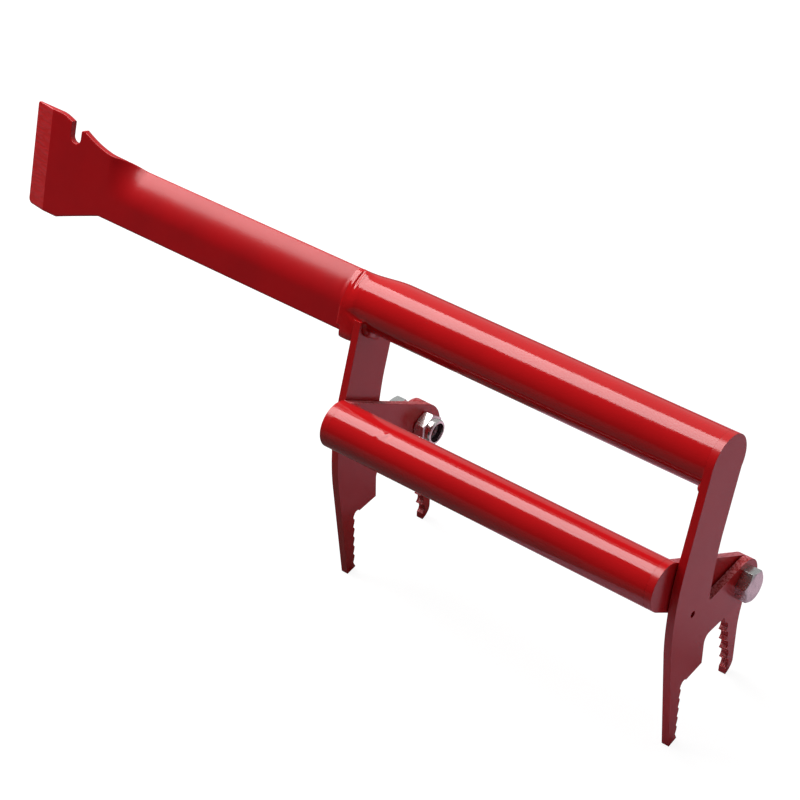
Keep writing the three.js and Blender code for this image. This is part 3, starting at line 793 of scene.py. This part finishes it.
def floorMaterial(name, colour):
    # pale to the camera, with only a faint shadow, and its own colour to everything else
    material = bpy.data.materials.new(name)
    material.use_nodes = True
    tree = material.node_tree
    tree.nodes.clear()
    path = tree.nodes.new("ShaderNodeLightPath")
    matt = tree.nodes.new("ShaderNodeBsdfDiffuse")
    seen = mixColour(tree, path.outputs["Is Camera Ray"], colour, stageFacts["seenColour"])
    tree.links.new(seen, matt.inputs["Color"])
    glow = tree.nodes.new("ShaderNodeEmission")
    glow.inputs["Strength"].default_value = stageFacts["seenGlow"]
    blend = tree.nodes.new("ShaderNodeMixShader")
    out = tree.nodes.new("ShaderNodeOutputMaterial")
    share = mathNode(tree, "MULTIPLY", path.outputs["Is Camera Ray"], stageFacts["seenShare"])
    tree.links.new(share, blend.inputs[0])
    tree.links.new(matt.outputs[0], blend.inputs[1])
    tree.links.new(glow.outputs[0], blend.inputs[2])
    tree.links.new(blend.outputs[0], out.inputs["Surface"])
    return material


def flatPiece(name, corners, height, material):
    mesh = bpy.data.meshes.new(name)
    mesh.from_pydata([(x, y, height) for x, y in corners], [], [tuple(range(len(corners)))])
    piece = bpy.data.objects.new(name, mesh)
    bpy.context.scene.collection.objects.link(piece)
    piece.data.materials.append(material)
    return piece


reach = stageFacts["floorSize"] / 2
flatPiece("floor", [(-reach, -reach), (reach, -reach), (reach, reach), (-reach, reach)],
          stageFacts["floorDepth"], floorMaterial("paleFloor", stageFacts["floorColour"]))
flatPiece("card", stageFacts["cardCorners"], stageFacts["cardDepth"],
          floorMaterial("paleCard", stageFacts["cardColour"]))

world = bpy.context.scene.world or bpy.data.worlds.new("studio")
bpy.context.scene.world = world
world.use_nodes = True
tree = world.node_tree
tree.nodes.clear()
path = tree.nodes.new("ShaderNodeLightPath")
direction = tree.nodes.new("ShaderNodeSeparateXYZ")
tree.links.new(tree.nodes.new("ShaderNodeTexCoord").outputs["Generated"], direction.inputs[0])
room = rampNode(tree, direction.outputs["Y"], stageFacts["roomFrom"], stageFacts["roomTo"],
                stageFacts["roomDark"], stageFacts["roomBright"])
strength = tree.nodes.new("ShaderNodeMix")
strength.data_type = "FLOAT"
tree.links.new(path.outputs["Is Camera Ray"], strength.inputs[0])
tree.links.new(room, strength.inputs[2])
strength.inputs[3].default_value = 1.0
shade = tree.nodes.new("ShaderNodeBackground")
tree.links.new(strength.outputs[0], shade.inputs["Strength"])
tree.links.new(shade.outputs[0], tree.nodes.new("ShaderNodeOutputWorld").inputs["Surface"])


def areaLight(name, direction, distance, size, power):
    data = bpy.data.lights.new(name, "AREA")
    data.shape = "RECTANGLE"
    data.size, data.size_y = size
    data.energy = power
    lamp = bpy.data.objects.new(name, data)
    lamp.location = Vector(stageFacts["softboxAim"]) + Vector(direction).normalized() * distance
    away = Vector(direction).normalized()
    side = Vector((0, 1, 0))
    along = side.cross(away).normalized()
    side = away.cross(along)
    lamp.matrix_world = Matrix.Translation(lamp.location) @ Matrix((along, side, away)).transposed().to_4x4()
    bpy.context.scene.collection.objects.link(lamp)
    return lamp


areaLight("softbox", stageFacts["softboxDirection"], stageFacts["softboxDistance"],
          stageFacts["softboxSize"], stageFacts["softboxPower"])

cameraFacts = {
    "place": (0.34079, -0.5847, 0.7077),  # X from the right jaw's outer face
    "ahead": (-0.5047, 0.5930, -0.6275),
    "up": (-0.3750, 0.5041, 0.7780),
    "lens": 105.1,
}
cameraData = bpy.data.cameras.new("camera")
cameraData.lens = cameraFacts["lens"]
cameraData.sensor_width = 36
camera = bpy.data.objects.new("camera", cameraData)
back = -Vector(cameraFacts["ahead"]).normalized()
right = Vector(cameraFacts["up"]).cross(back).normalized()
place = Vector(cameraFacts["place"]) + Vector((stance["rightFace"] / 1000, 0, 0))
camera.matrix_world = Matrix.Translation(place) @ Matrix(
    (right, back.cross(right), back)).transposed().to_4x4()
bpy.context.scene.collection.objects.link(camera)
bpy.context.scene.camera = camera
bpy.context.scene.view_settings.view_transform = "Standard"
print("set the stage")
